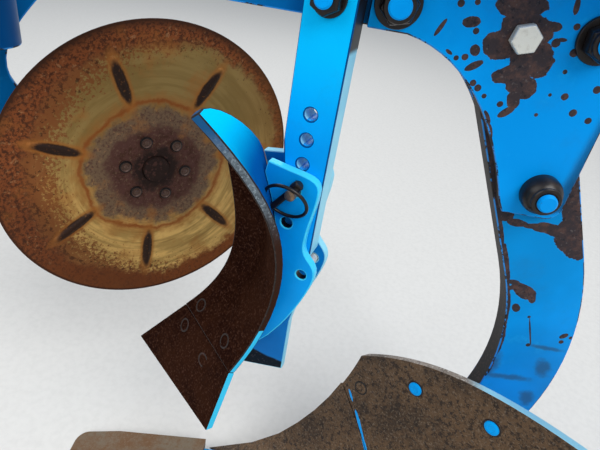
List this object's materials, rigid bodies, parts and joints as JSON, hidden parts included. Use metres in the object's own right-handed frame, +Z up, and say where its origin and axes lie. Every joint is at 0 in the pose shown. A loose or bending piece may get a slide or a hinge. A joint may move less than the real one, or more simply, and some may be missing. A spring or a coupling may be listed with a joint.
{
  "type": "mouldboard plough furrow unit",
  "caption": "Left-turning furrow unit of a reversible plough: curved leg with mouldboard, share and landside, skimmer and swivelling disc coulter, on a bolted flange.",
  "frame": {"origin": "middle of the top face of the mounting flange, in the plane through the leg's thickness", "axes": "+X forward along the direction of travel, +Y to the furrow side that the soil is turned to, +Z up; the share point's tip lies 0.82 m below the origin's plane"},
  "size_m": [1.067, 0.8035, 0.82],
  "materials": {
    "blue_paint": "bright blue machine enamel, chipped to brown bare metal in places",
    "dark_steel": "blackened, greasy fasteners",
    "zinc_steel": "pale zinc plating",
    "worn_steel": "soil-worn steel under thin brown rust",
    "rusty_disc": "soil-polished steel with orange rust rings"
  },
  "bodies": {
    "root": {"head_flange": "blue_paint", "bracket_plate_near": "blue_paint", "bracket_plate_far": "blue_paint", "bracket_web": "blue_paint", "bracket_bolts": "dark_steel", "shear_bolt": "zinc_steel", "pivot_bolt": "dark_steel", "leg": "blue_paint", "carrier_bar": "blue_paint", "skimmer_wedge": "blue_paint", "skimmer_stalk": "blue_paint", "skimmer_bolts": "dark_steel", "skimmer_cheek_near": "blue_paint", "skimmer_cheek_far": "blue_paint", "skimmer_pin": "zinc_steel", "pin_ring": "dark_steel", "adjust_screw": "dark_steel", "skimmer_mouldboard": "worn_steel", "skimmer_share": "worn_steel", "coulter_stem": "dark_steel", "stem_collar": "blue_paint", "stem_clamp": "blue_paint", "clamp_strap": "blue_paint", "clamp_bolts": "dark_steel", "mouldboard": "worn_steel", "shin_piece": "worn_steel", "share": "worn_steel", "share_point": "worn_steel", "landside": "worn_steel", "frog_web": "blue_paint", "frog_foot": "blue_paint", "frog_nose": "blue_paint", "board_stay": "blue_paint"},
    "coulter": {"swivel_head": "blue_paint", "disc_arm": "blue_paint", "disc_axle": "zinc_steel"},
    "disc": {"disc_blade": "rusty_disc", "disc_hub": "blue_paint", "disc_rivets": "rusty_disc"}
  },
  "joints": [
    {"name": "coulter_swivel", "type": "hinge", "parent": "root", "child": "coulter", "pos_m": [0.515, -0.078, -0.2], "axis": [0, 0, 1], "range_deg": [-40, 7]},
    {"name": "disc_spin", "type": "hinge", "parent": "coulter", "child": "disc", "pos_m": [0.36597, -0.18936, -0.394], "axis": [0.6157, -0.788, 0], "continuous": true}
  ]
}
